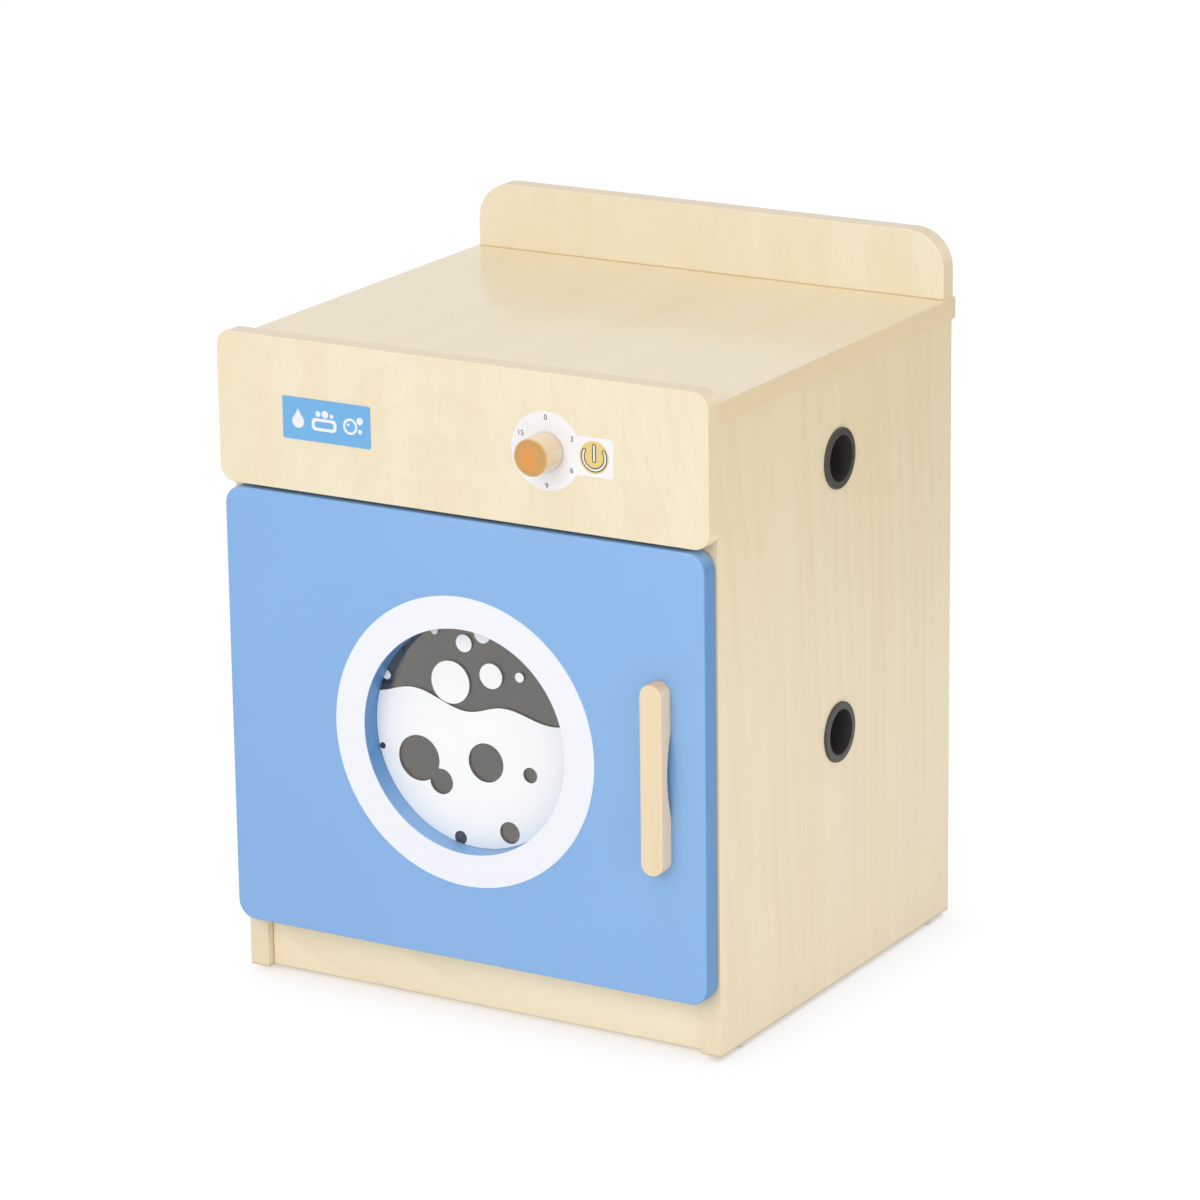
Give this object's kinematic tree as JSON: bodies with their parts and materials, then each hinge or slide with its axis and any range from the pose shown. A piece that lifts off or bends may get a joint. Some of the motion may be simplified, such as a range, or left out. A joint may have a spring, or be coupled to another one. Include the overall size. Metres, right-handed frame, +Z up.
{
  "type": "toy washing machine",
  "caption": "Play-kitchen washing machine: a wooden cabinet with a hinged door, round printed window, turning knob, splash board and side grommets.",
  "frame": {"origin": "bottom centre of the bounding box: on the floor under the glides, midway between the sides, and midway between the knob's face and the rear edge of the top", "axes": "+Z up, the door and fascia face -Y, +X is to the right of someone facing the door"},
  "size_m": [0.404, 0.393, 0.5325],
  "materials": {
    "maple_board": "pale maple laminate, satin",
    "back_board": "thin laminated fibreboard, matte",
    "beech": "planed beech, unfinished",
    "zinc_steel": "zinc-plated steel",
    "bright_steel": "nickel-plated steel",
    "black_plastic": "black moulded plastic, satin",
    "pale_plastic": "off-white moulded plastic",
    "label_blue": "printed vinyl label",
    "sticker_white": "printed vinyl sticker",
    "power_yellow": "printed vinyl",
    "knob_wood": "lacquered dowel with dark end grain",
    "door_blue": "satin blue lacquer on fibreboard",
    "ring_white": "white vinyl ring",
    "clear_acrylic": "clear acrylic sheet",
    "print_white": "white screen print",
    "handle_wood": "pale lacquered wood",
    "magnet_ferrite": "ferrite magnet between steel pole plates"
  },
  "bodies": {
    "cabinet": {"side_panel_left": "maple_board", "side_panel_right": "maple_board", "top_panel": "maple_board", "bottom_panel": "maple_board", "kickboard": "maple_board", "fascia_panel": "maple_board", "splash_board": "maple_board", "back_panel": "back_board", "fascia_battens": "beech", "top_dowels": "beech", "bottom_dowels": "beech", "kick_dowels": "beech", "fascia_screws": "zinc_steel", "batten_screws": "zinc_steel", "splash_screws": "zinc_steel", "back_screws": "zinc_steel", "top_cams": "zinc_steel", "bottom_cams": "zinc_steel", "hinge_screws_cabinet": "zinc_steel", "catch_screws": "zinc_steel", "top_cam_bolts": "bright_steel", "bottom_cam_bolts": "bright_steel", "glide_nails": "bright_steel", "hinge_leaves_cabinet": "bright_steel", "hinge_pins": "bright_steel", "knob_washer_rear": "bright_steel", "grommets_left": "black_plastic", "grommets_right": "black_plastic", "glides": "pale_plastic", "knob_sleeve": "pale_plastic", "knob_washer_front": "pale_plastic", "catch_housing": "pale_plastic", "label_plate": "label_blue", "dial_plate": "sticker_white", "power_disc": "power_yellow", "catch_magnet": "magnet_ferrite"},
    "door": {"door_panel": "door_blue", "window_ring": "ring_white", "window_pane": "clear_acrylic", "window_print": "print_white", "pane_screws": "zinc_steel", "door_handle": "handle_wood", "handle_screws": "zinc_steel", "hinge_leaves_door": "bright_steel", "hinge_screws_door": "zinc_steel", "strike_plate": "bright_steel", "strike_screws": "zinc_steel"},
    "knob": {"knob": "knob_wood", "knob_screw": "zinc_steel"}
  },
  "joints": [
    {"name": "door_hinge", "type": "hinge", "parent": "cabinet", "child": "door", "pos_m": [-0.19975, -0.1587, 0.2115], "axis": [0, 0, -1], "range_deg": [0, 180]},
    {"name": "knob_turn", "type": "hinge", "parent": "cabinet", "child": "knob", "pos_m": [0.0735, -0.18545, 0.436], "axis": [0, -1, 0], "continuous": true}
  ]
}
